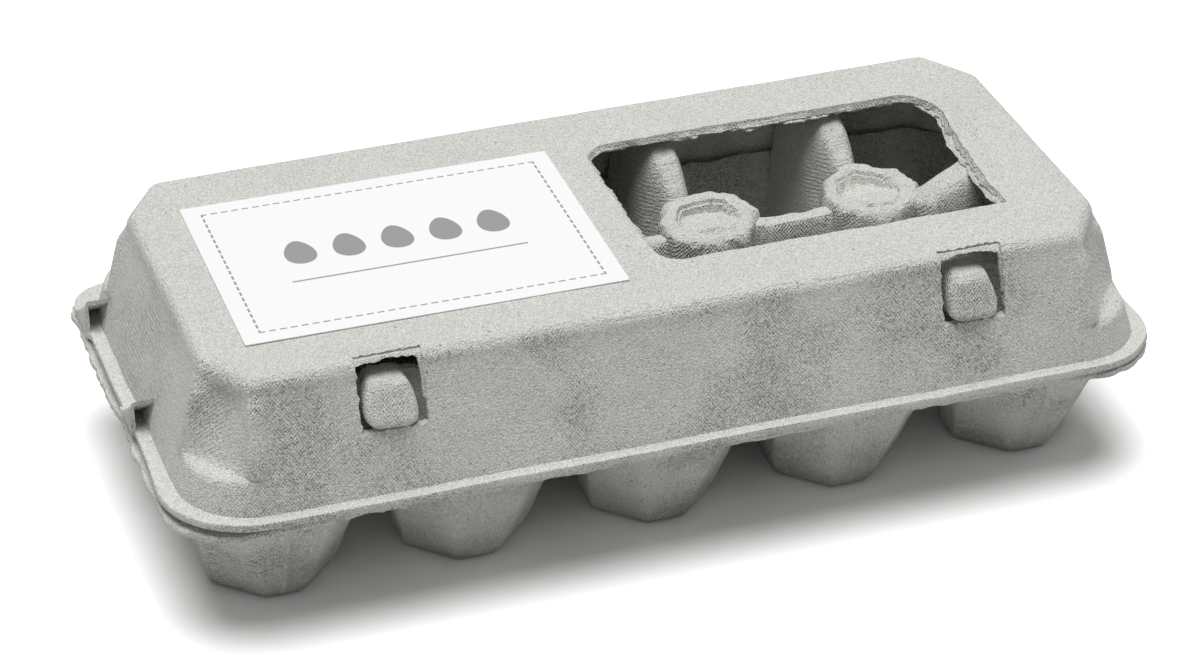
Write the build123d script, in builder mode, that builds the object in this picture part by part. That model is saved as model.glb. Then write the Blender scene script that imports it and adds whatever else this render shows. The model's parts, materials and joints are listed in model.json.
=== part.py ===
import os
from build123d import *

os.makedirs("parts", exist_ok=True)

# overall sizes of the closed carton, in millimetres
height = 67.0
wall = 1.8
flange_gap = 0.4
lid_x = 124.6
lid_front = 60.9
lid_back = 58.6
tray_x = 125.2
tray_front = 57.2
tray_corner_front = 59.8
tray_back = 59.1
corner_r = 20.0

# levels
tray_rim = 32.6
lid_rim = tray_rim + flange_gap
deck_low = tray_rim - wall
inside_top = height - wall
post_top = inside_top - 7.2
saddle = post_top - 5.0
support_top = inside_top - 3.7
back_rise = tray_rim + 0.35 * (inside_top - tray_rim)

# egg cells: five along, two rows; the outlines are those of one front cell, as half sizes and corner cuts
pitch = 48.0
cells = [(i - 2) * pitch for i in range(5)]
foot_y = -25.5
foot_r = 15.0
foot_flat = 3.5
mouth_x = 21.6
mouth_front = -53.0
mouth_back = -2.0
cut_front = 10.0
cut_back = 15.0

# posts and ridges between the cells
post_x = (-1.5 * pitch + 1.5, -0.5 * pitch - 0.5, 0.5 * pitch + 0.5, 1.5 * pitch - 1.5)
ridge_x = (-1.5 * pitch, -0.5 * pitch, 0.5 * pitch, 1.5 * pitch)
post_y = 1.0
post_flat_low = 13.8
post_flat_high = 11.0
post_flat_top = 8.7
post_shoulder = post_top - 2.5
long_y = 0.5
long_half = 3.2
cross_half = 3.6
slot_drop = 1.4 * wall
climb = 11.5
support_l = 10.0
upstand_t = 1.6
upstand_half = 100.0

# lid form: half sizes and corner cuts at three levels, and the round-cornered band below them
lid_low = (121.0, 58.9, 13.5, 19.0)
lid_shoulder = (112.5, 50.3, 9.5, 14.5)
lid_top = (109.5, 47.0, 9.0, 13.5)
shoulder_z = height - 4.0
band_z = lid_rim + 10.0
band_r = 17.0
lug_y = (36.0, -6.0)
lug_h = 5.2
lug_half = 2.8

# openings in the lid
view_x0 = 2.7
view_x1_front = 92.0
view_x1_back = 97.0
view_y = 30.0
latch_x = 72.4
latch_w = 16.0
latch_sill = lid_rim + 18.0
latch_back = -47.4

# inner front flap and its knobs
flap_gap = 0.9
flap_top = inside_top - 5.2
flap_half = 97.0
knob_low = latch_sill + 0.6
knob_gap = 0.35

# paper label
label_l = 93.0
label_w = 66.5
label_t = 0.3
label_x = -53.5
label_y = -1.8
label_turn = -0.6

# hinge along the back
hinge_y = lid_back + 1.5
hinge_z = tray_rim + flange_gap / 2
hinge_r = 0.8
hinge_half = 100.0


def octagon(front, back, half_x, cut_f, cut_b):
    """Outline of a cell seen from above: a box with its corners cut at 45 degrees."""
    return [(-half_x + cut_f, front), (half_x - cut_f, front), (half_x, front + cut_f), (half_x, back - cut_b),
            (half_x - cut_b, back), (-half_x + cut_b, back), (-half_x, back - cut_b), (-half_x, front + cut_f)]


def inset(front, back, half_x, cut_f, cut_b, t):
    """The same outline one wall inward; a 45 degree cut gets shorter by t * (2 - root 2)."""
    less = t * (2 - 2 ** 0.5)
    return octagon(front + t, back - t, half_x - t, cut_f - less, cut_b - less)


def between(low, high, share):
    """Outline part of the way from one outline to another with the same corners."""
    return [(a[0] + (b[0] - a[0]) * share, a[1] + (b[1] - a[1]) * share) for a, b in zip(low, high)]


def corner_cut_box(half_x, half_y, cut_x, cut_y, t=0.0):
    """Rectangle outline with its four corners cut off, moved inward by t."""
    less_x = t * (1 + cut_x / cut_y - (1 + (cut_x / cut_y) ** 2) ** 0.5)
    less_y = t * (1 + cut_y / cut_x - (1 + (cut_y / cut_x) ** 2) ** 0.5)
    hx, hy, cx, cy = half_x - t, half_y - t, cut_x - less_x, cut_y - less_y
    return [(hx, -hy + cy), (hx, hy - cy), (hx - cx, hy), (-hx + cx, hy),
            (-hx, hy - cy), (-hx, -hy + cy), (-hx + cx, -hy), (hx - cx, -hy)]


def front_line(z, inward):
    """Y of the lid's front wall at a height, moved inward square to the wall."""
    slope = (lid_low[1] - lid_shoulder[1]) / (shoulder_z - lid_rim)
    return -(lid_low[1] - slope * (z - lid_rim)) + inward * (1 + slope ** 2) ** 0.5


def post_flat(z):
    """Distance from a post's axis to its flat sides at a height."""
    return post_flat_low + (post_flat_high - post_flat_low) * (z - tray_rim) / (post_shoulder - tray_rim)


def lowered(outline, drop):
    """A side outline moved down, which leaves a wall above it once it is cut out."""
    return [(a, z - drop) for a, z in outline]


# one cup and the room inside it
foot_box = (foot_y - foot_r, foot_y + foot_r, foot_r, foot_r - foot_flat, foot_r - foot_flat)
mouth_box = (mouth_front, mouth_back, mouth_x, cut_front, cut_back)
foot_in, mouth_in = inset(*foot_box, wall), inset(*mouth_box, wall)
with BuildPart() as cup:
    with BuildSketch(Plane.XY):
        Polygon(*octagon(*foot_box), align=None)
    with BuildSketch(Plane.XY.offset(deck_low)):
        Polygon(*octagon(*mouth_box), align=None)
    loft(ruled=True)
with BuildPart() as cavity:
    with BuildSketch(Plane.XY.offset(wall)):
        Polygon(*between(foot_in, mouth_in, wall / deck_low), align=None)
    with BuildSketch(Plane.XY.offset(tray_rim)):
        Polygon(*between(foot_in, mouth_in, tray_rim / deck_low), align=None)
    loft(ruled=True)

# a post is an eight-sided cone with a shoulder, hollow from below
to_corner = 1 / 0.92388
with BuildPart() as post:
    with BuildSketch(Plane.XY.offset(tray_rim)):
        RegularPolygon(post_flat_low * to_corner, 8, rotation=22.5)
    with BuildSketch(Plane.XY.offset(post_shoulder)):
        RegularPolygon(post_flat_high * to_corner, 8, rotation=22.5)
    with BuildSketch(Plane.XY.offset(post_top)):
        RegularPolygon(post_flat_top * to_corner, 8, rotation=22.5)
    loft(ruled=True)
with BuildPart() as post_hollow:
    with BuildSketch(Plane.XY.offset(deck_low)):
        RegularPolygon((post_flat_low - wall) * to_corner, 8, rotation=22.5)
    with BuildSketch(Plane.XY.offset(post_shoulder - wall / 2)):
        RegularPolygon((post_flat_high - wall) * to_corner, 8, rotation=22.5)
    with BuildSketch(Plane.XY.offset(post_top - wall)):
        RegularPolygon((post_flat_top - wall / 2) * to_corner, 8, rotation=22.5)
    loft(ruled=True)

# side outlines of the ridges from post to post, out to the end supports and across the rows
long_lines = []
for a, b in zip(post_x[:-1], post_x[1:]):
    long_lines.append([(a, tray_rim), (a, saddle), (b, saddle), (b, tray_rim)])
valley = post_x[-1] + post_flat(saddle) + 1.0
for s in (-1, 1):
    long_lines.append([(s * post_x[-1], tray_rim), (s * post_x[-1], saddle - 2), (s * valley, saddle - 2),
                       (s * (valley + climb), support_top), (s * (valley + climb + support_l), support_top),
                       (s * (valley + climb + support_l + 5.5), tray_rim)])
back_in = -mouth_front
cross_line = [(-back_in + 7.0, tray_rim), (-back_in + 7.0, tray_rim + 2.4), (post_y - post_flat(saddle - 8), saddle - 8),
              (post_y, saddle - 3), (back_in - 34.5, saddle - 3), (back_in - 26.0, support_top),
              (back_in - 9.5, support_top), (back_in - 3.2, back_rise), (back_in - 2.0, tray_rim)]

flap = [(front_line(tray_rim, wall + flap_gap), tray_rim), (front_line(flap_top, wall + flap_gap), flap_top),
        (front_line(flap_top, 2 * wall + flap_gap), flap_top), (front_line(tray_rim, 2 * wall + flap_gap), tray_rim)]
knob = [(front_line(knob_low, wall + knob_gap), knob_low), (front_line(flap_top - 1, wall + knob_gap - 0.85), flap_top - 1),
        (front_line(flap_top, wall + flap_gap), flap_top), (front_line(knob_low, wall + flap_gap), knob_low)]

with BuildPart() as moulding:
    # deck, with its front edge set back to the fold of the flap between the corners
    with BuildSketch(Plane.XY.offset(deck_low)):
        with Locations((0, (tray_back - tray_corner_front) / 2)):
            RectangleRounded(2 * tray_x, tray_back + tray_corner_front, corner_r)
        with Locations((0, -tray_front - corner_r / 2)):
            Rectangle(2 * (flap_half + 2), corner_r, mode=Mode.SUBTRACT)
    extrude(amount=wall)
    for x in cells:
        add(cup.part.moved(Location((x, 0, 0))))
        add(cup.part.moved(Location((x, 0, 0))).mirror(Plane.XZ))
    for x in cells:
        add(cavity.part.moved(Location((x, 0, 0))), mode=Mode.SUBTRACT)
        add(cavity.part.moved(Location((x, 0, 0))).mirror(Plane.XZ), mode=Mode.SUBTRACT)
    # posts and ridges
    for x in post_x:
        add(post.part.moved(Location((x, post_y, 0))))
    for outline in long_lines:
        with BuildSketch(Plane.XZ.offset(-long_y)):
            Polygon(*outline, align=None)
        extrude(amount=long_half, both=True)
    for x in ridge_x:
        with BuildSketch(Plane.YZ.offset(x)):
            Polygon(*cross_line, align=None)
        extrude(amount=cross_half, both=True)
    # the room under them, open from below
    for x in post_x:
        add(post_hollow.part.moved(Location((x, post_y, 0))), mode=Mode.SUBTRACT)
    for outline in long_lines:
        with BuildSketch(Plane.XZ.offset(-long_y)):
            Polygon(*lowered(outline, slot_drop), align=None)
        extrude(amount=long_half - wall, both=True, mode=Mode.SUBTRACT)
    for x in ridge_x:
        with BuildSketch(Plane.YZ.offset(x)):
            Polygon(*lowered(cross_line, slot_drop), align=None)
        extrude(amount=cross_half - wall, both=True, mode=Mode.SUBTRACT)
    # upstand along the back, between the cells and the lid
    with BuildSketch(Plane.YZ):
        with Locations((back_in - upstand_t / 2, (tray_rim + back_rise) / 2)):
            Rectangle(upstand_t, back_rise - tray_rim)
    extrude(amount=upstand_half, both=True)
    # inner front flap and its two catching knobs
    with BuildSketch(Plane.YZ):
        Polygon(*flap, align=None)
    extrude(amount=flap_half, both=True)
    for side in (-1, 1):
        with BuildSketch(Plane.YZ.offset(side * latch_x)):
            Polygon(*knob, align=None)
        extrude(amount=latch_w / 2 - 1.2, both=True)
    # hinge strip: a flat web ending in a round bead on the hinge line
    with BuildSketch(Plane.YZ):
        with Locations((hinge_y, hinge_z)):
            Circle(hinge_r)
        with Locations(((tray_back + hinge_y) / 2, deck_low + wall / 2)):
            Rectangle(hinge_y - tray_back, wall)
    extrude(amount=hinge_half, both=True)

# the one moulding, divided along the cell boundaries into ten touching blocks with one cell each
blocks = []
reach = 2 * tray_x
for i, x in enumerate(cells):
    low = -reach if i == 0 else x - pitch / 2
    high = reach if i == len(cells) - 1 else x + pitch / 2
    for s in (-1, 1):
        with BuildPart() as block:
            add(moulding.part)
            with Locations(((low + high) / 2, s * reach / 2, height / 2)):
                Box(high - low, reach, 2 * height, mode=Mode.INTERSECT)
        blocks += list(block.part.solids())
tray = Compound(children=blocks)

with BuildPart() as lid:
    with BuildSketch(Plane.XY.offset(lid_rim)):
        Polygon(*corner_cut_box(*lid_low), align=None)
    with BuildSketch(Plane.XY.offset(shoulder_z)):
        Polygon(*corner_cut_box(*lid_shoulder), align=None)
    with BuildSketch(Plane.XY.offset(height)):
        Polygon(*corner_cut_box(*lid_top), align=None)
    loft(ruled=True)
    # round-cornered band at the foot of the wall, which leaves a ledge below each corner
    lean = (band_z - lid_rim) / (shoulder_z - lid_rim)
    band_x = lid_low[0] + (lid_shoulder[0] - lid_low[0]) * lean
    band_y = lid_low[1] + (lid_shoulder[1] - lid_low[1]) * lean
    with BuildSketch(Plane.XY.offset(lid_rim)):
        RectangleRounded(2 * lid_low[0], 2 * lid_low[1], band_r + 1)
    with BuildSketch(Plane.XY.offset(band_z)):
        RectangleRounded(2 * band_x, 2 * band_y, band_r - 1)
    loft(ruled=True)
    with BuildSketch(Plane.XY.offset(lid_rim)):
        with Locations((0, (lid_back - lid_front) / 2)):
            RectangleRounded(2 * lid_x, lid_back + lid_front, corner_r)
    extrude(amount=wall)
    with Locations((0, lid_back + corner_r / 2, lid_rim + corner_r / 2)):
        Box(2 * lid_x, corner_r, corner_r, mode=Mode.SUBTRACT)
    # the end lugs: small wedges with a steep front face
    lug_low, lug_high = lid_rim + wall / 2, lid_rim + wall + lug_h
    for side in (-1, 1):
        for y in lug_y:
            with BuildSketch(Plane.YZ.offset(side * (lid_x - lug_half - 1.3))):
                Polygon((y, lug_low), (y, lug_high), (y + 3, lug_high), (y + 10, lug_low), align=None)
            extrude(amount=lug_half, both=True)
    # hollow inside, one wall smaller
    with BuildSketch(Plane.XY.offset(lid_rim)):
        Polygon(*corner_cut_box(*lid_low, wall), align=None)
    with BuildSketch(Plane.XY.offset(shoulder_z - wall / 3)):
        Polygon(*corner_cut_box(*lid_shoulder, wall), align=None)
    with BuildSketch(Plane.XY.offset(inside_top)):
        Polygon(*corner_cut_box(*lid_top, 0.9 * wall), align=None)
    loft(ruled=True, mode=Mode.SUBTRACT)
    with BuildSketch(Plane.XY.offset(lid_rim)):
        RectangleRounded(2 * (lid_low[0] - wall), 2 * (lid_low[1] - wall), band_r + 1 - wall)
    with BuildSketch(Plane.XY.offset(band_z - wall)):
        RectangleRounded(2 * (band_x - 0.8 * wall), 2 * (band_y - 0.8 * wall), band_r - 1 - wall)
    loft(ruled=True, mode=Mode.SUBTRACT)
    # viewing window
    with BuildSketch(Plane.XY.offset(height + 1)) as view:
        Polygon((view_x0, -view_y), (view_x1_front, -view_y), (view_x1_back, view_y), (view_x0, view_y), align=None)
        left = view.vertices().sort_by(Axis.X)[:2]
        fillet(left, 7.0)
        back_right = view.vertices().sort_by(Axis.X)[-1]
        fillet(back_right, 9.0)
    extrude(amount=-3 * wall, mode=Mode.SUBTRACT)
    # the two latch openings
    for side in (-1, 1):
        with Locations((side * latch_x, latch_back - lid_front / 2, (latch_sill + height + 1) / 2)):
            Box(latch_w, lid_front, height + 1 - latch_sill, mode=Mode.SUBTRACT)

with BuildPart() as label:
    with Locations(Location((label_x, label_y, height + label_t / 2), (0, 0, label_turn))):
        Box(label_l, label_w, label_t)

tray.label = "tray"
lid.part.label = "lid"
label.part.label = "label"
export_step(tray, "parts/tray.step")
export_step(lid.part, "parts/lid.step")
export_step(label.part, "parts/label.step")
print("moulding", moulding.part.is_valid, len(moulding.part.solids()), round(moulding.part.volume / 1000, 2))
print("tray", len(blocks), all(s.is_valid for s in blocks), round(sum(s.volume for s in blocks) / 1000, 2), tray.bounding_box())
print("lid", lid.part.is_valid, len(lid.part.solids()), round(lid.part.volume / 1000, 1), lid.part.bounding_box())
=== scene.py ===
import json

import bmesh
import bpy
import numpy as np
from mathutils import Matrix


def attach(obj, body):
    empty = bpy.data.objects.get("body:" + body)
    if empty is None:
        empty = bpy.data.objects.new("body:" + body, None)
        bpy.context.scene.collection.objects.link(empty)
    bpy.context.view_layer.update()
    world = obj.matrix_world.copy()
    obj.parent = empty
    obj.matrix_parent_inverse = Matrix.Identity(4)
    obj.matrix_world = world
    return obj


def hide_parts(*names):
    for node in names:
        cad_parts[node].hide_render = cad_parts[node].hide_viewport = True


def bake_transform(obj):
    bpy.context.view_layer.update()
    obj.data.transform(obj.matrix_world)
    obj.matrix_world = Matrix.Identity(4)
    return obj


bl_info = {
    "name": "Pulp egg carton",
    "version": (1, 0, 0),
    "blender": (4, 5, 0),
    "location": "View3D > Sidebar > Egg carton",
    "description": "Dresses a closed moulded-pulp egg carton in its shapes and materials",
    "category": "Add Mesh",
}

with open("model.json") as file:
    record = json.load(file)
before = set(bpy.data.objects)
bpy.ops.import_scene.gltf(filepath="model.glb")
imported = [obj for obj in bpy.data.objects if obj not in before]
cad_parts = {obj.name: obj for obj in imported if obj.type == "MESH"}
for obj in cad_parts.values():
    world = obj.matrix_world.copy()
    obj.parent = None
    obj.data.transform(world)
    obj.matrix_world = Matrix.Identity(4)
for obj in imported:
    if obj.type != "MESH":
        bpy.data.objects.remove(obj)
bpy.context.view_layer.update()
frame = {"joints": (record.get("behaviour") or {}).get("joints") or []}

# lengths are in mm until a mesh is made; nodes work in metres
MM = 0.001
HINGE = [c / MM for c in frame["joints"][0]["pos_m"]]
PITCH = 48.0
CELLS = (np.arange(5) - 2) * PITCH
POSTS = np.array([-69.0, -26.8, 26.8, 69.0])
COLUMNS = np.array([-69.5, -24.3, 24.3, 69.5])
POST_Y = 2.5
FOOT = 0.0
RIM = 32.6
TOP = 67.0
# half sizes of the lid's walls at a height, and their lean inward per mm
WALL_Z, WALL_X, WALL_Y = 33, 121.0, 58.9
LEAN_X, LEAN_Y = 8.5 / 30, 8.6 / 30
# the middle of the long sides, whose stations stay at the same x in every row
STRAIGHT, STRAIGHT_SHARE = 85.0, 0.85
LATCHES = (-70.6, 74.2)
LATCH_HALF = 8.0
LUGS = (36.0, -13.0)
LABEL_X, LABEL_Y, LABEL_TURN = -53.5, -1.8, np.radians(-0.6)
WINDOW = [(2.7, -30.0, 7.0), (91.8, -30.2, 1.2), (97.0, 29.6, 9.0), (2.7, 30.0, 7.0)]
WINDOW_MIDDLE = np.array([49.0, 0.0])


# Sizes and colours that a user would change


class CartonSizes(bpy.types.PropertyGroup):
    pulp_wall: bpy.props.FloatProperty(
        name="Pulp wall", description="Thickness of the moulded wall",
        default=1.8 * MM, subtype="DISTANCE", unit="LENGTH")
    torn_edge: bpy.props.FloatProperty(
        name="Torn edge", description="How far cut edges wander",
        default=0.45 * MM, subtype="DISTANCE", unit="LENGTH")
    lifted_corner: bpy.props.FloatProperty(
        name="Lifted corner", description="Lift of the lid's front left corner",
        default=0.9 * MM, subtype="DISTANCE", unit="LENGTH")


class CartonColours(bpy.types.PropertyGroup):
    pulp: bpy.props.FloatVectorProperty(
        name="Pulp", description="Colour of the recycled pulp",
        default=(0.735, 0.742, 0.70), subtype="COLOR", size=3)
    fleck: bpy.props.FloatVectorProperty(
        name="Fleck", description="Colour of the dark fibres in the pulp",
        default=(0.16, 0.155, 0.145), subtype="COLOR", size=3)
    paper: bpy.props.FloatVectorProperty(
        name="Paper", description="Colour of the label's paper",
        default=(0.90, 0.90, 0.90), subtype="COLOR", size=3)
    ink: bpy.props.FloatVectorProperty(
        name="Ink", description="Colour of the marks on the label",
        default=(0.30, 0.30, 0.31), subtype="COLOR", size=3)


# Surfaces as whole arrays


def wander(p, length, seed):
    """Smooth noise from about -1 to 1: nine sine waves in scattered directions, each about one length long."""
    rng = np.random.default_rng(seed)
    way = rng.normal(size=(9, 3))
    way *= (rng.uniform(0.7, 1.6, 9) * 2 * np.pi / length / np.linalg.norm(way, axis=1))[:, None]
    return np.sin(p @ way.T + rng.uniform(0, 6.28, 9)).mean(-1) * 1.6


def ease(t):
    """Smooth step from 0 to 1."""
    t = np.clip(t, 0, 1)
    return t * t * (3 - 2 * t)


def grid_faces(rows, cols, close_rows=False, close_cols=False):
    """Corner numbers of the quads of a grid that may close on itself both ways."""
    r = np.arange(rows if close_rows else rows - 1)
    c = np.arange(cols if close_cols else cols - 1)
    r, c = np.meshgrid(r, c, indexing="ij")
    a, b = r * cols + c, r * cols + (c + 1) % cols
    d, e = ((r + 1) % rows) * cols + c, ((r + 1) % rows) * cols + (c + 1) % cols
    return np.stack([a, b, e, d], -1).reshape(-1, 4)


def outward(points, quads):
    """Turns the faces over if they enclose a negative volume, summed over tetrahedra to the origin."""
    p = points - points.mean(0)
    a, b, c, d = (p[quads[:, i]] for i in range(4))
    volume = (np.cross(a, b) * c).sum() + (np.cross(a, c) * d).sum()
    return quads if volume > 0 else quads[:, ::-1]


def closed_rows(rings):
    """A closed shell from rings that run from one pole to another: both end rings shrink to one point."""
    rows, cols, _ = rings.shape
    points = rings.reshape(-1, 3)
    quads = grid_faces(rows, cols, close_cols=True)
    return points, outward(points, quads)


def slab(top, bottom):
    """A closed plate from two grids of the same size: both faces and a band of quads along the border."""
    rows, cols, _ = top.shape
    n = rows * cols
    index = np.arange(n).reshape(rows, cols)
    rim = np.concatenate([index[0, :-1], index[:-1, -1], index[-1, :0:-1], index[:0:-1, 0]])
    ahead = np.roll(rim, -1)
    face = grid_faces(rows, cols)
    band = np.stack([rim, rim + n, ahead + n, ahead], -1)
    points = np.concatenate([top.reshape(-1, 3), bottom.reshape(-1, 3)])
    return points, outward(points, np.concatenate([face, face[:, ::-1] + n, band]))


def rounded_block(middle, half, power, rows, cols):
    """A block with soft edges: a sphere's coordinates, each raised to a power under one, then scaled."""
    def soft(s):
        return np.sign(s) * np.abs(s) ** power

    v = np.linspace(-np.pi / 2, np.pi / 2, rows)[:, None]
    u = np.linspace(0, 2 * np.pi, cols, endpoint=False)[None, :]
    girth = soft(np.cos(v))
    p = np.stack([girth * soft(np.cos(u)), girth * soft(np.sin(u)), soft(np.sin(v)) + 0 * u], -1)
    return p * np.array(half) + np.array(middle)


def piece(name, shells, body, material, stands_for=()):
    """Joins closed shells into one object in metres, gives it a material and a body."""
    points, faces, start = [], [], 0
    for p, q in shells:
        points.append(p)
        faces.append(q + start)
        start += len(p)
    points, faces = np.concatenate(points) * MM, np.concatenate(faces)
    mesh = bpy.data.meshes.new(name)
    mesh.vertices.add(len(points))
    mesh.vertices.foreach_set("co", points.astype(np.float32).ravel())
    mesh.loops.add(faces.size)
    mesh.loops.foreach_set("vertex_index", faces.astype(np.int32).ravel())
    mesh.polygons.add(len(faces))
    mesh.polygons.foreach_set("loop_start", np.arange(0, faces.size, 4, dtype=np.int32))
    mesh.polygons.foreach_set("use_smooth", np.ones(len(faces), dtype=bool))
    mesh.update(calc_edges=True)
    mesh.validate()
    obj = bpy.data.objects.new(name, mesh)
    bpy.context.scene.collection.objects.link(obj)
    bpy.context.view_layer.objects.active = obj
    tidy_mesh(mesh)
    mesh.materials.append(material)
    if body:
        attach(obj, body)
    if stands_for:
        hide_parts(*stands_for)
    return obj


def tidy_mesh(mesh):
    """Closes the poles, where many points lie in one place, and marks folds over about 34 degrees as sharp."""
    sharp = 0.6
    bm = bmesh.new()
    bm.from_mesh(mesh)
    bmesh.ops.remove_doubles(bm, verts=bm.verts, dist=1e-7)
    bmesh.ops.dissolve_degenerate(bm, edges=bm.edges, dist=1e-8)
    for e in bm.edges:
        e.smooth = not (len(e.link_faces) == 2 and e.calc_face_angle(0) > sharp)
    bm.to_mesh(mesh)
    bm.free()


# Outlines of the lid


def stations(front=300, back=150, side=90, corner=26):
    """Where an outline's upright lines stand: numbers of its sides (even) and corners (odd) from the front side
    on, and a share along each, -1 to 1 on a side and 0 to 1 on a corner."""
    t = np.linspace(-1, 1, front)
    for x in LATCHES:
        for edge in (x - LATCH_HALF, x + LATCH_HALF):
            want = edge / STRAIGHT * STRAIGHT_SHARE
            t[np.argmin(np.abs(t - want))] = want
    turn, end = np.linspace(0, 1, corner + 2)[1:-1], np.linspace(-1, 1, side)
    parts = [t, turn, end, turn, np.linspace(-1, 1, back), turn, end, turn]
    which = np.concatenate([np.full(len(s), k) for k, s in enumerate(parts)])
    return which, np.concatenate(parts)


def outline(which, share, hx, front, back, cx, cy, bend, rear=1.0, rib=0.0):
    """A box outline with its corners cut (bend 0) or rounded (bend 1), anticlockwise from the front left. The
    rear corners' size is a share of the front ones', and a rib swells the sides just beside each corner."""
    def along(t, length):
        a = np.abs(t)
        beyond = STRAIGHT + (a - STRAIGHT_SHARE) / (1 - STRAIGHT_SHARE) * (length - STRAIGHT)
        return np.sign(t) * np.where(a <= STRAIGHT_SHARE, a / STRAIGHT_SHARE * STRAIGHT, beyond)

    def swell(from_corner):
        return rib * np.exp(-((from_corner - 2.0) / 2.0) ** 2)

    x, y = np.zeros(len(share)), np.zeros(len(share))
    for k, sign, size in ((0, 1, 1.0), (4, -1, rear)):
        m = which == k
        x[m] = sign * along(share[m], hx - cx * size)
        y[m] = -sign * ((front if k == 0 else back) + swell(hx - cx * size - np.abs(x[m])))
    low, high = -front + cy, back - cy * rear
    for k, sign in ((2, 1), (6, -1)):
        m = which == k
        y[m] = (low + high) / 2 + sign * share[m] * (high - low) / 2
        x[m] = sign * (hx + swell(np.minimum(y[m] - low, high - y[m])))
    rx, ry = cx * rear, cy * rear
    ends = {1: ((hx - cx, -front), (hx, low), (hx - cx, low), cx, cy, -90),
            3: ((hx, high), (hx - rx, back), (hx - rx, high), rx, ry, 0),
            5: ((-hx + rx, back), (-hx, high), (-hx + rx, high), rx, ry, 90),
            7: ((-hx, low), (-hx + cx, -front), (-hx + cx, low), cx, cy, 180)}
    for k, (a, b, c, wide, deep, angle) in ends.items():
        m = which == k
        s = share[m]
        turn = np.radians(angle + 90 * s)
        x[m] = (1 - bend) * (a[0] + (b[0] - a[0]) * s) + bend * (c[0] + wide * np.cos(turn))
        y[m] = (1 - bend) * (a[1] + (b[1] - a[1]) * s) + bend * (c[1] + deep * np.sin(turn))
    return x, y


def soften(values, times):
    """Averages each value with its two neighbours around the closed outline, which rounds its corners."""
    for _ in range(times):
        values = 0.25 * np.roll(values, 1, -1) + 0.5 * values + 0.25 * np.roll(values, -1, -1)
    return values


def window_reach(angle):
    """Distance from the window's middle to its edge in each direction, from its four rounded corners."""
    corners = np.array([(x, y) for x, y, r in WINDOW]) - WINDOW_MIDDLE
    line = []
    for i, (_, _, r) in enumerate(WINDOW):
        p, a, b = corners[i], corners[i - 1], corners[(i + 1) % 4]
        u, v = (a - p) / np.linalg.norm(a - p), (b - p) / np.linalg.norm(b - p)
        half = np.arccos(np.clip(u @ v, -1, 1)) / 2
        cut = r / np.tan(half)
        middle = p + (u + v) / np.linalg.norm(u + v) * r / np.sin(half)
        a0, a1 = (np.arctan2(*(p + w * cut - middle)[::-1]) for w in (u, v))
        turn = (a1 - a0 + np.pi) % (2 * np.pi) - np.pi
        arc = a0 + turn * np.linspace(0, 1, 24)
        line.append(middle + r * np.stack([np.cos(arc), np.sin(arc)], -1))
    line = np.concatenate(line)
    nxt = np.roll(line, -1, 0)
    share = np.linspace(0, 1, 60, endpoint=False)[None, :, None]
    line = (line[:, None] * (1 - share) + nxt[:, None] * share).reshape(-1, 2)
    a, r = np.arctan2(line[:, 1], line[:, 0]), np.linalg.norm(line, axis=1)
    order = np.argsort(a)
    return np.interp(angle, a[order], r[order], period=2 * np.pi)


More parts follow.
